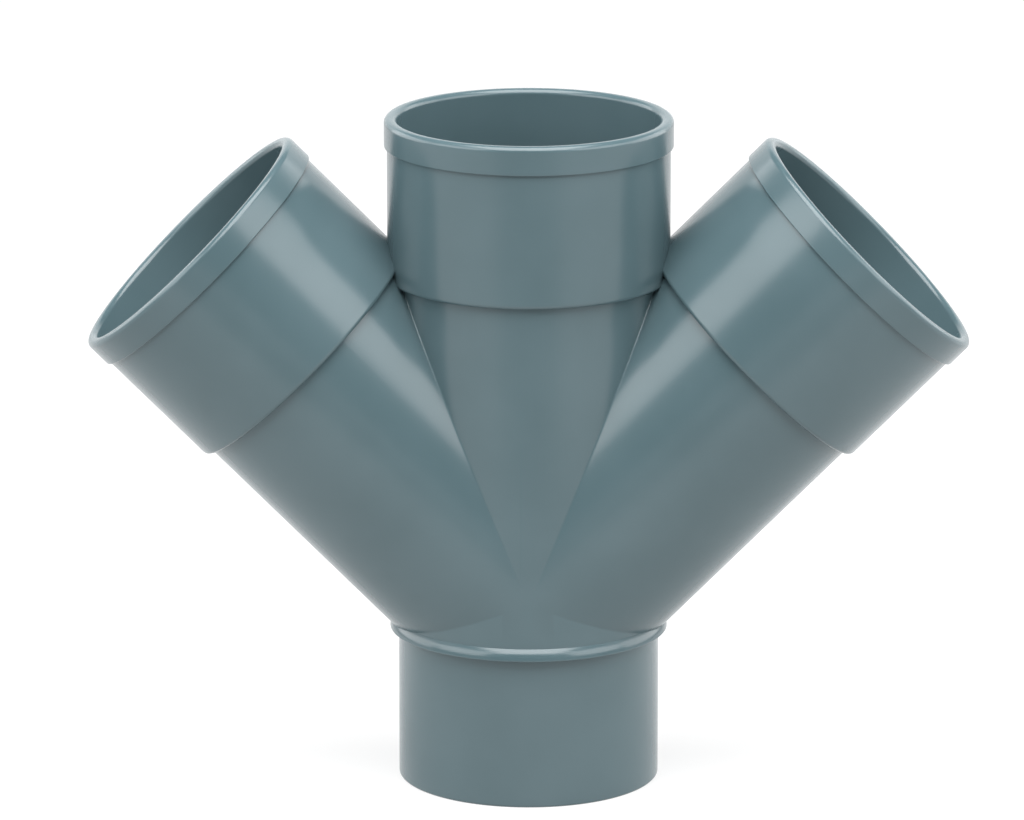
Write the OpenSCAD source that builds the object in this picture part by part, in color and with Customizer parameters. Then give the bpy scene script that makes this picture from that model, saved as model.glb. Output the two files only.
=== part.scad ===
// Double wye for plastic drain pipe, moulded in one piece.
// A straight run climbs from a plain spigot to a socket, and two branches leave
// it to the left and right, each ending in a socket of the same size.
// The origin is the middle of the spigot's end, +Z is up the run, and the
// branches lie in the XZ plane. Every length is in millimetres.

/* [Pipe] */
// Outside diameter of the pipe that the fitting joins
pipe_od = 75; // [50:1:110]
// Wall of that pipe, which the waterway carries on inside the fitting
pipe_wall = 3; // [2:0.1:4]

/* [Spigot] */
// Plain length below the stop face, which goes into the next fitting
spigot_length = 44; // [25:1:60]
// Rounding of the outer and inner corner at the spigot's end
spigot_edge = 0.8; // [0.3:0.1:1.2]

/* [Stop bead] */
// How far the bead stands out of the spigot
bead_proud = 2.5; // [1:0.1:3.5]
// Radius of the bead's rounded top
bead_round = 4.5; // [3.6:0.1:6]
// Rounding of the corner between that top and the flat stop face below it
stop_edge = 0.4; // [0.2:0.1:0.8]

/* [Body] */
// Wall of the three tubes that cross
body_wall = 3.9; // [3.1:0.1:5]
// Angle between the run and each branch
branch_angle = 45; // [40:1:60]
// How far inside the bead's edge the lowest line of a branch meets the stop face
foot_inset = 2.25; // [0.5:0.25:2.25]
// Plastic left between a branch socket's bore and the top socket's bore
crotch_wall = 2.25; // [2:0.25:12]
// How much nearer to the crossing the top socket sits than the branch sockets
run_lead = 4.5; // [0:0.5:6]

/* [Sockets] */
// Gap around a pipe in its socket, filled by solvent cement
cement_gap = 0.15; // [0.05:0.05:0.4]
// Depth from the mouth to the seat that stops the pipe
socket_depth = 44; // [25:1:60]
// Wall around the pipe
socket_wall = 2.85; // [2.5:0.05:5]
// Plastic below the seat, down to the step on the outside
seat_thickness = 3; // [3:0.5:8]
// Rounding of the outer corner at the step
step_edge = 1.2; // [0.2:0.1:1.2]

/* [Rims] */
// Height of the thicker band around each mouth
rim_height = 8.25; // [5:0.25:15]
// How far the band stands out of the socket
rim_proud = 0.85; // [0.4:0.05:2]
// Rounding of the band's lower corner
rim_edge = 0.3; // [0.1:0.1:0.4]
// Rounding of both edges of the lip
lip_round = 1.6; // [0.5:0.1:1.6]

/* [Hidden] */
$fn = 128;

// Radii, from the waterway outwards
waterway_r = pipe_od / 2 - pipe_wall;
spigot_r = pipe_od / 2;
body_r = waterway_r + body_wall;
bore_r = pipe_od / 2 + cement_gap;
socket_r = bore_r + socket_wall;
rim_r = socket_r + rim_proud;
bead_r = spigot_r + bead_proud;

// Height where the three axes cross. The lowest line of a branch then meets the
// stop face at foot_r from the run's axis.
foot_r = bead_r - foot_inset;
crossing_z = spigot_length + body_r / sin(branch_angle) - foot_r / tan(branch_angle);

// Distances of the seats from the crossing. The inner corner of a branch seat
// lies crotch_wall outside the top socket's bore.
branch_seat = (bore_r * (1 + cos(branch_angle)) + crotch_wall) / sin(branch_angle);
run_seat = crossing_z + branch_seat - run_lead;

// How far each cut runs past the end that it opens
past = 1;

// Half outline of a round block from one height to another, with its outer
// corners rounded by low and high.
module block_outline(r, from, to, low, high) {
    translate([0, from])
        square([r - low, low]);
    translate([r - low, from + low])
        circle(low);
    translate([0, from + low])
        square([r, to - from - low - high]);
    translate([r - high, to - high])
        circle(high);
    translate([0, to - high])
        square([r - high, high]);
}

// Half outline of a socket's outside: the wall from the step to the mouth, and
// the proud band that ends in the rounded lip.
module socket_outline(seat) {
    step = seat - seat_thickness;
    mouth = seat + socket_depth;
    block_outline(socket_r, step, mouth - lip_round, step_edge, step_edge);
    block_outline(rim_r, mouth - rim_height, mouth, rim_edge, lip_round);
}

// Half outline of a socket's inside: the pipe's bore above the seat, opened out
// to round the lip's inner edge.
module socket_bore_outline(seat) {
    mouth = seat + socket_depth;
    translate([0, seat])
        square([bore_r, socket_depth + past]);
    difference() {
        translate([0, mouth - lip_round])
            square([bore_r + lip_round, lip_round + past]);
        translate([bore_r + lip_round, mouth - lip_round])
            circle(lip_round);
    }
}

// Places what is drawn along +Z on a branch, to the left or right of the run.
module on_branch(side) {
    translate([0, 0, crossing_z])
        rotate([0, side * branch_angle, 0])
            children();
}

// Half outline of the stop bead: a flat stop face, and a quarter round on it.
module bead_outline() {
    intersection() {
        translate([bead_r - bead_round, spigot_length])
            circle(bead_round);
        block_outline(bead_r, spigot_length, spigot_length + 2 * bead_round, stop_edge, stop_edge);
    }
}

// Spigot, stop bead, tube and top socket, as one turned solid.
module run_outside() {
    rotate_extrude() {
        block_outline(spigot_r, 0, spigot_length + bead_round, spigot_edge, spigot_edge);
        bead_outline();
        translate([0, spigot_length])
            square([body_r, run_seat - spigot_length]);
        socket_outline(run_seat);
    }
}

// Tube and socket of one branch, drawn up the Z axis from the crossing.
module branch_outside() {
    rotate_extrude() {
        square([body_r, branch_seat]);
        socket_outline(branch_seat);
    }
}

// What lies above the stop face, where the branches are kept.
module above_stop_face() {
    reach = branch_seat + socket_depth + rim_r;
    translate([-reach, -rim_r - past, spigot_length])
        cube([2 * reach, 2 * (rim_r + past), crossing_z + reach]);
}

// Waterway and socket bore of the run, with the spigot's inner edge rounded.
module run_inside() {
    rotate_extrude() {
        translate([0, -past])
            square([waterway_r, run_seat + 2 * past]);
        difference() {
            translate([0, -past])
                square([waterway_r + spigot_edge, past + spigot_edge]);
            translate([waterway_r + spigot_edge, spigot_edge])
                circle(spigot_edge);
        }
        socket_bore_outline(run_seat);
    }
}

// Waterway and socket bore of one branch.
module branch_inside() {
    rotate_extrude() {
        square([waterway_r, branch_seat + past]);
        socket_bore_outline(branch_seat);
    }
}

// The whole moulding.
module double_wye() {
    color([0.41, 0.48, 0.50])
        difference() {
            union() {
                run_outside();
                for (side = [-1, 1])
                    intersection() {
                        on_branch(side) branch_outside();
                        above_stop_face();
                    }
            }
            run_inside();
            for (side = [-1, 1])
                on_branch(side) branch_inside();
        }
}

double_wye();
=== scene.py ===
# %% [markdown]
# A double wye is a drain-pipe fitting moulded in one shot: a straight run with
# a spigot below and a socket on top, and two branches that leave it at 45
# degrees to the left and right. Its construction was made first and is loaded
# here as a fixed frame. Everything below is drawn around that frame, in the
# same axes, and the finished scene is still in metres.

# %% Load the frame
import math

import bmesh
import bpy
from mathutils import Matrix, Vector


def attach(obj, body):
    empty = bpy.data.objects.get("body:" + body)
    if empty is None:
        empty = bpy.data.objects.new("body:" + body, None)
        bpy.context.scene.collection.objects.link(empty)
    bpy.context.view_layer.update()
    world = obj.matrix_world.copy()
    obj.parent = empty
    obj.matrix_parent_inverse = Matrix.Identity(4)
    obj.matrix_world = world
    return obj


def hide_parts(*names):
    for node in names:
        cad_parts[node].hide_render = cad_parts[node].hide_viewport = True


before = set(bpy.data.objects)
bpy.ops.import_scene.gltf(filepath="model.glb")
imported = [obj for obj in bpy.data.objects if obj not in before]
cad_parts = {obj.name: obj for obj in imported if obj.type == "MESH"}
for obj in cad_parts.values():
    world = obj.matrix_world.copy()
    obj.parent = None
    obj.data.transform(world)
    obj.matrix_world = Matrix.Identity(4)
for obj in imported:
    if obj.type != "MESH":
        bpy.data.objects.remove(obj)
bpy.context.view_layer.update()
scene = bpy.context.scene

# %% [markdown]
# Materials are drawn as node trees, and much of a tree is arithmetic. So a
# node's output is wrapped in a small class, and adding, subtracting and
# multiplying wrapped outputs places the Math nodes. A finish then reads as a
# few lines of formulas in the object's own millimetres.

# %% Arithmetic on node outputs


class Signal:
    """A node's output that can be calculated with."""

    def __init__(self, socket):
        self.socket = socket

    def node(self, kind, inputs, output=0, **settings):
        """Adds any other node: settings first, then values and links of its inputs."""
        tree = self.socket.id_data
        added = tree.nodes.new(kind)
        for name, value in settings.items():
            setattr(added, name, value)
        for key, value in inputs.items():
            if isinstance(value, Signal):
                tree.links.new(value.socket, added.inputs[key])
            else:
                added.inputs[key].default_value = value
        return Signal(added.outputs[output])

    def math(self, operation, first, second):
        """Adds a Math node."""
        return self.node("ShaderNodeMath", {0: first, 1: second}, operation=operation)

    def __add__(self, other):
        return self.math("ADD", self, other)

    def __radd__(self, other):
        return self.math("ADD", other, self)

    def __sub__(self, other):
        return self.math("SUBTRACT", self, other)

    def __rsub__(self, other):
        return self.math("SUBTRACT", other, self)

    def __mul__(self, other):
        return self.math("MULTIPLY", self, other)

    def __rmul__(self, other):
        return self.math("MULTIPLY", other, self)

    def size(self):
        """The value without its sign."""
        return self.node("ShaderNodeMath", {0: self}, operation="ABSOLUTE")

    def smaller(self, other):
        """The smaller of two values."""
        return self.math("MINIMUM", self, other)

    def larger(self, other):
        """The larger of two values."""
        return self.math("MAXIMUM", self, other)

    def rise(self, low, high):
        """Climbs smoothly from 0 at low to 1 at high."""
        ends = {"Value": self, "From Min": low, "From Max": high}
        return self.node("ShaderNodeMapRange", ends, interpolation_type="SMOOTHSTEP")

    def part(self, axis):
        """One coordinate of a vector: X, Y or Z."""
        return self.node("ShaderNodeSeparateXYZ", {0: self}, output=axis)

    def noise(self, size, detail):
        """Soft random values around 0.5, in spots of about this size."""
        settings = {"Vector": self, "Scale": 1 / size, "Detail": detail}
        return self.node("ShaderNodeTexNoise", settings, noise_dimensions="3D")

    def blend(self, below, above):
        """Mixes two colours, where this value is the share of the second."""
        colours = {0: self, 6: (*below, 1), 7: (*above, 1)}
        return self.node("ShaderNodeMix", colours, output=2, data_type="RGBA")

    def feed(self, shader, name):
        """Links this output to an input of the shader."""
        shader.id_data.links.new(self.socket, shader.inputs[name])


print("arithmetic: node outputs can now be calculated with")

# %% [markdown]
# The camera comes first, because a finish can only be judged in the right
# view. The photographer stood straight in front, well back and a little above
# the fitting, so the three mouths show as slim ellipses. A long lens keeps the
# sides of the sockets nearly parallel. The numbers were found by fitting the
# rings of the sockets and the outline to the picture. The lens is given as a
# focal length in pixels, which turns into millimetres on a 36 mm sensor.

# %% Camera
IMAGE_WIDTH = 1024
SENSOR_MM = 36
FAR_LIMIT = 50
camera_place = Vector((0, -2.216, 0.671))
aim_point = Vector((-0.0048, 0, 0.108))
focal_pixels = 7957

camera = bpy.data.objects.new("camera", bpy.data.cameras.new("camera"))
camera.data.sensor_width = SENSOR_MM
camera.data.lens = focal_pixels / IMAGE_WIDTH * SENSOR_MM
camera.data.clip_end = FAR_LIMIT
camera.location = camera_place
camera.rotation_euler = (aim_point - camera_place).to_track_quat("-Z", "Y").to_euler()
scene.collection.objects.link(camera)
scene.camera = camera
print("camera: lens", round(camera.data.lens, 1), "mm")

# %% [markdown]
# The fitting stands on a light table: white sheet plastic that is lit through
# from below, the usual set for a product picture on a pure white ground. The
# glow burns the ground out to white and leaves only a faint shadow behind the
# fitting. In front, outside the frame, a round patch of the table is not lit.
# The camera looks down, so the upright tubes mirror that patch, and it gives
# them the darker middle that makes a tube look round.

# %% Light table and room
TABLE_HALF_SIDE = 8
TABLE_WHITE = (0.2, 0.2, 0.2)
TABLE_ROUGHNESS = 0.8
PATCH_MIDDLE = (0, -0.75, 0)
PATCH_CORE = 0.25
PATCH_EDGE = 0.42
ROOM_LIGHT = 0.06
glow_power = 0.72

sheet = bmesh.new()
bmesh.ops.create_grid(sheet, x_segments=1, y_segments=1, size=TABLE_HALF_SIDE)
floor = bpy.data.objects.new("floor", bpy.data.meshes.new("floor"))
sheet.to_mesh(floor.data)
sheet.free()
scene.collection.objects.link(floor)


def material_start(name):
    """Makes a material and returns it with its shader and its object coordinates."""
    material = bpy.data.materials.new(name)
    material.use_nodes = True
    nodes = material.node_tree.nodes
    coordinates = Signal(nodes.new("ShaderNodeTexCoord").outputs["Object"])
    return material, nodes["Principled BSDF"], coordinates


glowing, table_shader, table_place = material_start("light_table")
table_shader.inputs["Base Color"].default_value = (*TABLE_WHITE, 1)
table_shader.inputs["Roughness"].default_value = TABLE_ROUGHNESS
table_shader.inputs["Emission Strength"].default_value = glow_power
from_patch = table_place.node(
    "ShaderNodeVectorMath", {0: table_place, 1: PATCH_MIDDLE}, output="Value", operation="DISTANCE"
)
from_patch.rise(PATCH_CORE, PATCH_EDGE).feed(table_shader, "Emission Color")
floor.data.materials.append(glowing)

world = bpy.data.worlds.new("dark_studio")
world.use_nodes = True
world.node_tree.nodes["Background"].inputs["Color"].default_value = (1, 1, 1, 1)
world.node_tree.nodes["Background"].inputs["Strength"].default_value = ROOM_LIGHT
scene.world = world
scene.view_settings.view_transform = "Standard"
print("table:", 2 * TABLE_HALF_SIDE, "m wide, glow", glow_power)

# %% [markdown]
# Soft boxes light the plastic from above the table. One hangs overhead, a
# little in front, and lights the lips, the bead and the upper sides of the
# branches, while the steps keep dark lines below them. One on each side draws
# the pale streak along each branch. Two more stand beside and behind, with a
# low panel at the back, and lift the edges off the white ground. Each light's
# strength was found by rendering it alone and weighing the pictures until
# their sum came closest to the photograph.

# %% Soft boxes
TARGET_HEIGHT = 0.11
STAND_DISTANCE = 1.2


def softbox(name, width, height, place, power):
    """Hangs a rectangular light that faces the fitting."""
    lamp = bpy.data.objects.new(name, bpy.data.lights.new(name, "AREA"))
    lamp.data.shape = "RECTANGLE"
    lamp.data.size = width
    lamp.data.size_y = height
    lamp.data.energy = power
    lamp.location = place
    towards = Vector((0, 0, TARGET_HEIGHT)) - Vector(place)
    lamp.rotation_euler = towards.to_track_quat("-Z", "Y").to_euler()
    scene.collection.objects.link(lamp)
    print("light:", name, power, "W")


def pair_of_boxes(name, width, height, bearing, level, power):
    """Stands two boxes at mirrored bearings, in degrees from the camera's side."""
    turn = math.radians(bearing)
    for side, word in ((-1, "left"), (1, "right")):
        place = (side * STAND_DISTANCE * math.sin(turn), -STAND_DISTANCE * math.cos(turn), level)
        softbox(word + "_" + name, width, height, place, power)


softbox("overhead_box", width=1.1, height=1.3, place=(0, -0.33, 1.18), power=33)
softbox("back_panel", width=3.0, height=1.2, place=(0, 1.8, 0.65), power=13)
pair_of_boxes("streak_box", width=1.05, height=0.8, bearing=60, level=0.73, power=10.5)
pair_of_boxes("edge_box", width=1.2, height=0.8, bearing=112, level=0.51, power=10)

# %% [markdown]
# The sizes repeat those of the construction, in millimetres, so that the
# visible skin lies where the solid lies. Lengths on an arm are measured along
# its axis from the crossing, the point where the three axes meet.

# %% Sizes
MM = 0.001
PIPE_R = 37.5
WATERWAY_R = 34.5
BODY_R = 38.4
BORE_R = 37.65
SOCKET_R = 40.5
RIM_R = 41.35
BEAD_R = 40
BEAD_ROUND = 4.5
STOP_EDGE = 0.4
SPIGOT_LENGTH = 44
SPIGOT_EDGE = 0.8
BRANCH_ANGLE = 45
FOOT_INSET = 2.25
CROTCH_WALL = 2.25
RUN_LEAD = 4.5
SOCKET_DEPTH = 44
SEAT_THICKNESS = 3
STEP_EDGE = 1.2
RIM_HEIGHT = 8.25
RIM_EDGE = 0.3
LIP_ROUND = 1.6
PAST = 1

tilt = math.radians(BRANCH_ANGLE)
crossing = SPIGOT_LENGTH + BODY_R / math.sin(tilt) - (BEAD_R - FOOT_INSET) / math.tan(tilt)
branch_seat = (BORE_R * (1 + math.cos(tilt)) + CROTCH_WALL) / math.sin(tilt)
run_seat = branch_seat - RUN_LEAD
print("crossing at", round(crossing, 2), "mm, seats at", round(run_seat, 2), round(branch_seat, 2))

# %% [markdown]
# Everything on this fitting is round, so every shape starts as a half outline
# that is spun about its axis, as a turner's profile is. Spin leaves a double
# seam and crowded poles, which are merged, and it can turn a shape inside out,
# so the faces are pointed outwards again.

# %% Turning an outline
SEGMENTS = 192
WELD = 0.001
CORNER_STEPS = 5
FULL_TURN = 360


def arc(middle, radius, start, stop, steps=CORNER_STEPS):
    """Points on an arc of the outline, from one angle in degrees to another."""
    angles = [math.radians(start + (stop - start) * k / steps) for k in range(steps + 1)]
    return [(middle[0] + radius * math.cos(a), middle[1] + radius * math.sin(a)) for a in angles]


def turned(outline, closed=False):
    """Spins (radius, height) points about Z and returns the shape in millimetres."""
    shape = bmesh.new()
    points = [shape.verts.new((radius, 0, height)) for radius, height in outline]
    pairs = zip(points, points[1:] + points[:1]) if closed else zip(points, points[1:])
    edges = [shape.edges.new(pair) for pair in pairs]
    bmesh.ops.spin(
        shape, geom=points + edges, cent=(0, 0, 0), axis=(0, 0, 1),
        angle=2 * math.pi, steps=SEGMENTS, use_merge=True,
    )
    bmesh.ops.remove_doubles(shape, verts=shape.verts, dist=WELD)
    bmesh.ops.recalc_face_normals(shape, faces=shape.faces)
    return shape


def tipped(shape, angle):
    """Leans a shape from the Z axis towards +X by an angle in degrees."""
    turn = Matrix.Rotation(math.radians(angle), 3, "Y")
    bmesh.ops.rotate(shape, verts=shape.verts, cent=(0, 0, 0), matrix=turn)
    return shape


# %% [markdown]
# Four arms meet at the crossing: the run's upper and lower half and the two
# branches. Their tubes have one radius, and two tubes of one radius meet in a
# flat mitre, like the corner of a picture frame. So each tube is cut by the
# mitre plane on either side, and the cut ends then match point for point and
# are welded. That leaves clean creases, which an ordinary union would not, and
# they can be bevelled into the small fillets that a steel mould has there.

# %% The crossing of the tubes
ARM_ANGLES = [0, BRANCH_ANGLE, FULL_TURN / 2, FULL_TURN - BRANCH_ANGLE]
CREASE_FILLET = 0.7
FILLET_SEGMENTS = 5
CUT_TOLERANCE = WELD / 10
CREASE_LIMIT = math.radians(8)


def mitre_normals(index):
    """Directions out of an arm across its two mitres, from its neighbours' angles."""
    here = ARM_ANGLES[index]
    last = len(ARM_ANGLES) - 1
    after = FULL_TURN if index == last else ARM_ANGLES[index + 1]
    before = ARM_ANGLES[last] - FULL_TURN if index == 0 else ARM_ANGLES[index - 1]
    for other, sign in ((after, 1), (before, -1)):
        middle = math.radians((here + other) / 2)
        yield Vector((math.cos(middle), 0, -math.sin(middle))) * sign


def crossing_of(outlines):
    """Welds four mitred arms, fillets their creases and stands the result upright."""
    joined = bmesh.new()
    mitres = []
    for index, angle in enumerate(ARM_ANGLES):
        part = tipped(turned(outlines[index]), angle)
        for normal in mitre_normals(index):
            mitres.append(normal)
            everything = part.verts[:] + part.edges[:] + part.faces[:]
            bmesh.ops.bisect_plane(
                part, geom=everything, dist=CUT_TOLERANCE, plane_co=(0, 0, 0),
                plane_no=normal, clear_outer=True,
            )
        carried = bpy.data.meshes.new("arm")
        part.to_mesh(carried)
        part.free()
        joined.from_mesh(carried)
        bpy.data.meshes.remove(carried)
    bmesh.ops.remove_doubles(joined, verts=joined.verts, dist=WELD)
    bmesh.ops.recalc_face_normals(joined, faces=joined.faces)
    creases = [
        edge for edge in joined.edges
        if edge.calc_face_angle(0) > CREASE_LIMIT
        and any(all(abs(n.dot(v.co)) < WELD for v in edge.verts) for n in mitres)
    ]
    bmesh.ops.bevel(
        joined, geom=creases, offset=CREASE_FILLET, offset_type="OFFSET", segments=FILLET_SEGMENTS,
        profile=0.5, affect="EDGES", material=-1, clamp_overlap=True,
    )
    bmesh.ops.translate(joined, verts=joined.verts, vec=(0, 0, crossing))
    faulty_edges = sum(not edge.is_manifold for edge in joined.edges)
    print("crossing:", len(joined.faces), "faces,", faulty_edges, "edges that don't join two")
    return joined


def piece_from(shape, name):
    """Turns a shape in millimetres into an object in metres."""
    bmesh.ops.scale(shape, verts=shape.verts, vec=(MM, MM, MM))
    mesh = bpy.data.meshes.new(name)
    shape.to_mesh(mesh)
    shape.free()
    piece = bpy.data.objects.new(name, mesh)
    scene.collection.objects.link(piece)
    return piece


# %% [markdown]
# The outer tubes run up into the sockets, where the thicker wall hides their
# ends. The lower arm narrows to the pipe's own diameter just above the stop
# face, inside the bead, and ends in the spigot's rounded corner. The waterway
# is the same crossing with a smaller radius. It will be cut away.

# %% Tubes and waterway
BEAD_COVER = 0.3
RUN_OVERLAP = 6
BRANCH_OVERLAP = 2
run_arm_end = run_seat + RUN_OVERLAP
branch_arm_end = branch_seat + BRANCH_OVERLAP
neck = crossing - SPIGOT_LENGTH - BEAD_COVER

spigot_outline = (
    [(BODY_R, -PAST), (BODY_R, neck), (PIPE_R, neck)]
    + arc((PIPE_R - SPIGOT_EDGE, crossing - SPIGOT_EDGE), SPIGOT_EDGE, 0, 90)
    + [(0, crossing)]
)
drain_outline = (
    [(WATERWAY_R, -PAST)]
    + arc((WATERWAY_R + SPIGOT_EDGE, crossing - SPIGOT_EDGE), SPIGOT_EDGE, 180, 90)
    + [(WATERWAY_R + SPIGOT_EDGE, crossing + PAST), (0, crossing + PAST)]
)


def tube(radius, end):
    """Half outline of a plain tube with a closed end."""
    return [(radius, -PAST), (radius, end), (0, end)]


run_tube = tube(BODY_R, run_arm_end)
branch_tube = tube(BODY_R, branch_arm_end)
run_way = tube(WATERWAY_R, run_seat + PAST)
branch_way = tube(WATERWAY_R, branch_seat + PAST)
outer_crossing = crossing_of([run_tube, branch_tube, spigot_outline, branch_tube])
body = piece_from(outer_crossing, "moulded_body")
inner_crossing = crossing_of([run_way, branch_way, drain_outline, branch_way])
waterway = piece_from(inner_crossing, "waterway")

# %% [markdown]
# Each arm but the lower one ends in a socket: a step out from the tube, the
# wall around the pipe, and a proud band with a rounded lip that stops the
# mouth from splitting when a pipe is pushed in. The bore goes down to a seat.
# The stop bead above the spigot is a ring with a flat face below, which meets
# the next fitting's lip, and a rounded top that sheds its mould.

# %% Sockets, bores and stop bead
BAND_STEPS = 3
LIP_STEPS = 7
BEAD_STEPS = 12
BEAD_DEPTH = 1
STOP_CORNER_END = -8


def socket_outline(seat):
    """Half outline of a socket's outside, from its step to its mouth."""
    step = seat - SEAT_THICKNESS
    mouth = seat + SOCKET_DEPTH
    band = mouth - RIM_HEIGHT
    return (
        [(0, step)]
        + arc((SOCKET_R - STEP_EDGE, step + STEP_EDGE), STEP_EDGE, -90, 0)
        + [(SOCKET_R, band)]
        + arc((RIM_R - RIM_EDGE, band + RIM_EDGE), RIM_EDGE, -90, 0, BAND_STEPS)
        + arc((RIM_R - LIP_ROUND, mouth - LIP_ROUND), LIP_ROUND, 0, 90, LIP_STEPS)
        + [(0, mouth)]
    )


def bore_outline(seat):
    """Half outline of the space for the pipe, opened out round the lip."""
    mouth = seat + SOCKET_DEPTH
    flare = BORE_R + LIP_ROUND
    return (
        [(0, seat), (BORE_R, seat)]
        + arc((flare, mouth - LIP_ROUND), LIP_ROUND, 180, 90, LIP_STEPS)
        + [(flare, mouth + PAST), (0, mouth + PAST)]
    )


def on_arm(outline, angle, name):
    """Turns an outline and stands it on the arm at an angle."""
    shape = tipped(turned(outline), angle)
    bmesh.ops.translate(shape, verts=shape.verts, vec=(0, 0, crossing))
    return piece_from(shape, name)


sockets = []
bores = []
for angle, seat in ((0, run_seat), (BRANCH_ANGLE, branch_seat), (-BRANCH_ANGLE, branch_seat)):
    sockets.append(on_arm(socket_outline(seat), angle, "socket"))
    bores.append(on_arm(bore_outline(seat), angle, "bore"))

bead_inside = PIPE_R - BEAD_DEPTH
bead_reach = math.degrees(math.acos((bead_inside - BEAD_R + BEAD_ROUND) / BEAD_ROUND))
bead_start = math.degrees(math.asin(STOP_EDGE / BEAD_ROUND))
bead_outline = (
    [(bead_inside, SPIGOT_LENGTH)]
    + arc((BEAD_R - STOP_EDGE, SPIGOT_LENGTH + STOP_EDGE), STOP_EDGE, -90, STOP_CORNER_END)
    + arc((BEAD_R - BEAD_ROUND, SPIGOT_LENGTH), BEAD_ROUND, bead_start, bead_reach, BEAD_STEPS)
)
bead = piece_from(turned(bead_outline, closed=True), "stop_bead")
print("turned:", len(sockets), "sockets,", len(bores), "bores and the bead")

# %% [markdown]
# A boolean then does what the mould does: all that is plastic becomes one
# piece, and the cores leave the waterway and the bores. Its exact solver keeps
# the turned surfaces untouched away from the joints. Edges that don't join two
# faces are then counted and the volume is worked out. Both are only printed,
# for the maker to hold against the construction.

# %% One moulding
MM3_IN_CM3 = 1000


def combine(piece, tools, operation):
    """Applies a boolean with several tools and removes them."""
    group = bpy.data.collections.new("tools")
    scene.collection.children.link(group)
    for tool in tools:
        group.objects.link(tool)
    step = piece.modifiers.new(operation.lower(), "BOOLEAN")
    step.operation = operation
    step.solver = "EXACT"
    step.operand_type = "COLLECTION"
    step.collection = group
    evaluated = piece.evaluated_get(bpy.context.evaluated_depsgraph_get())
    result = bpy.data.meshes.new_from_object(evaluated)
    piece.modifiers.clear()
    piece.data = result
    for tool in tools:
        bpy.data.meshes.remove(tool.data)
    bpy.data.collections.remove(group)


combine(body, sockets + [bead], "UNION")
combine(body, [waterway] + bores, "DIFFERENCE")

checked = bmesh.new()
checked.from_mesh(body.data)
bmesh.ops.remove_doubles(checked, verts=checked.verts, dist=WELD * MM)
faulty_edges = sum(not edge.is_manifold for edge in checked.edges)
plastic_volume = checked.calc_volume() / MM**3 / MM3_IN_CM3
checked.to_mesh(body.data)
checked.free()
print("moulding:", len(body.data.polygons), "faces,", faulty_edges, "edges that don't join two")
print("plastic:", round(plastic_volume, 1), "cm3")

# %% [markdown]
# The long faces of the tubes meet narrow fillets. Plain smooth shading would
# average their directions and spread a false gradient down the whole tube. So
# edges sharper than a fillet's steps are marked sharp, and a Weighted Normal
# modifier lets the large faces decide the shading.

# %% Smooth shading
SHARP_ANGLE = math.radians(38)
FACE_WEIGHT = 100

body.data.shade_smooth()
body.data.set_sharp_from_angle(angle=SHARP_ANGLE)
weighted = body.modifiers.new("weighted_normals", "WEIGHTED_NORMAL")
weighted.keep_sharp = True
weighted.weight = FACE_WEIGHT
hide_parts("double_wye")
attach(body, "root")
print("shading: sharp above", round(math.degrees(SHARP_ANGLE)), "degrees")

# %% [markdown]
# The plastic is unplasticised PVC, coloured right through, and its skin copies
# the polished steel of the mould. It is a grey with a touch of blue and green.
# The colour is mixed from two near tones in soft clouds, as pigment flows that
# way through the gate. The gloss varies a little too. Two fine reliefs go into
# the bump: a slow waviness, where thick and thin walls cooled unequally, and a
# fine grain that keeps the highlights from looking wet. Their heights are in
# millimetres, like all sizes here.

# %% Plastic
DARK_TONE = (0.058, 0.095, 0.107)
PALE_TONE = (0.067, 0.106, 0.119)
CLOUD_SIZE = 38
CLOUD_DETAIL = 3
CLOUD_RANGE = (0.3, 0.7)
GLOSS = 0.22
GLOSS_SWING = 0.08
SCUFF_SIZE = 9
NOISE_MIDDLE = 0.5
WAVE_SIZE = 22
WAVE_HEIGHT = 0.05
GRAIN_SIZE = 0.7
GRAIN_HEIGHT = 0.006
GRAIN_DETAIL = 1
PER_MM = (1 / MM, 1 / MM, 1 / MM)

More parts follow.
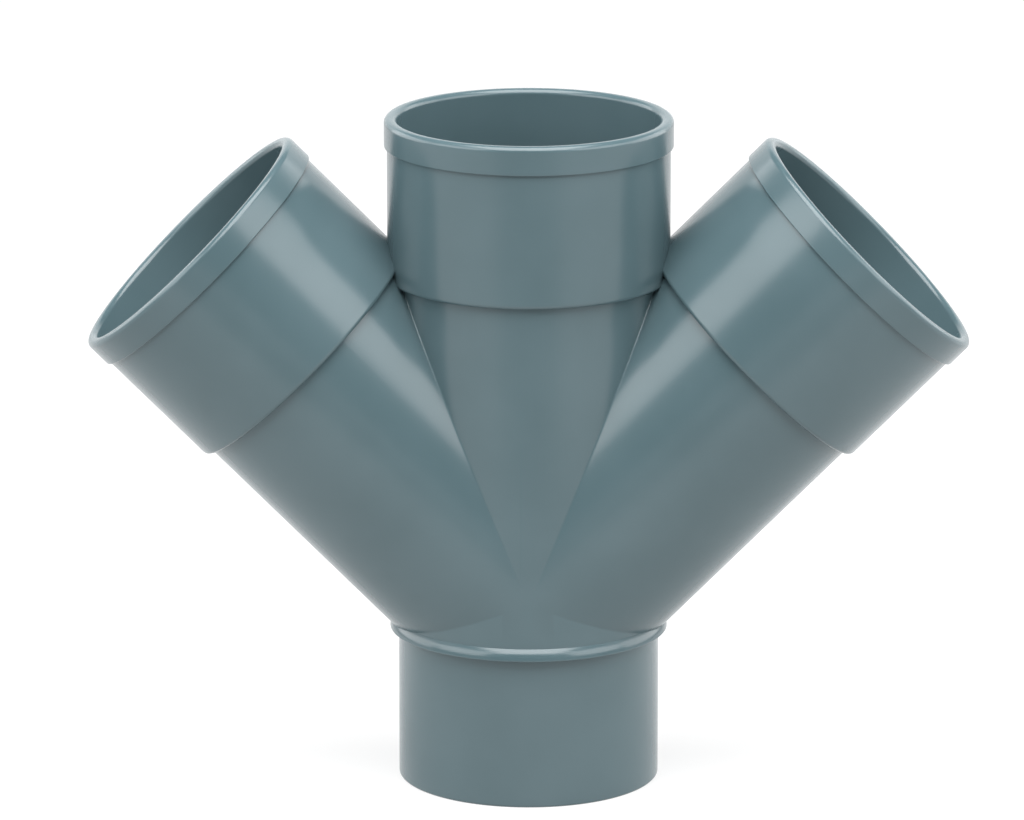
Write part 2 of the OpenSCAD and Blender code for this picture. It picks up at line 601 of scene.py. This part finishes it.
plastic, shader, metres = material_start("grey_pvc")
place = metres.node("ShaderNodeMapping", {"Vector": metres, "Scale": PER_MM})
clouds = place.noise(CLOUD_SIZE, CLOUD_DETAIL).rise(*CLOUD_RANGE)
clouds.blend(DARK_TONE, PALE_TONE).feed(shader, "Base Color")
gloss = GLOSS + GLOSS_SWING * (place.noise(SCUFF_SIZE, CLOUD_DETAIL) - NOISE_MIDDLE)
gloss.feed(shader, "Roughness")
waves = WAVE_HEIGHT * place.noise(WAVE_SIZE, 0)
relief = waves + GRAIN_HEIGHT * place.noise(GRAIN_SIZE, GRAIN_DETAIL)
print("plastic: tones", DARK_TONE, PALE_TONE, "roughness", GLOSS)

# %% [markdown]
# The two halves of the mould meet in the plane of the three axes, and leave a
# hair of a line where they close, along the outermost edge of every tube. It
# is far too thin to model, so it is drawn in the relief. It may lie only on
# the outer skin, since the inside was made by plain round cores. The distance
# from the nearest axis tells the two apart: every wall's outside is farther
# out than any bore, except on the spigot, which has its own limit.

# %% Parting line
LINE_HALF_WIDTH = 0.1
LINE_SOFTNESS = 0.1
LINE_HEIGHT = 0.05
SKIN_LIMIT = (BORE_R + BODY_R) / 2
SPIGOT_SKIN_LIMIT = (WATERWAY_R + PIPE_R) / 2
SKIN_SOFTNESS = 0.1

across = place.part("X").size()
above = place.part("Z") - crossing
from_branch = (across * math.cos(tilt) - above * math.sin(tilt)).size()
from_axis = across.smaller(from_branch)
on_spigot = 1 - place.part("Z").rise(SPIGOT_LENGTH, SPIGOT_LENGTH + PAST)
outer_skin = from_axis.rise(SKIN_LIMIT, SKIN_LIMIT + SKIN_SOFTNESS)
spigot_skin = on_spigot * from_axis.rise(SPIGOT_SKIN_LIMIT, SPIGOT_SKIN_LIMIT + SKIN_SOFTNESS)
at_seam = 1 - place.part("Y").size().rise(LINE_HALF_WIDTH, LINE_HALF_WIDTH + LINE_SOFTNESS)
seam = outer_skin.larger(spigot_skin) * at_seam
height = relief + LINE_HEIGHT * seam
bump = height.node("ShaderNodeBump", {"Height": height, "Distance": MM, "Strength": 1.0})
bump.feed(shader, "Normal")
body.data.materials.clear()
body.data.materials.append(plastic)
print("parting line:", LINE_HALF_WIDTH * 2, "mm wide,", LINE_HEIGHT, "mm high")
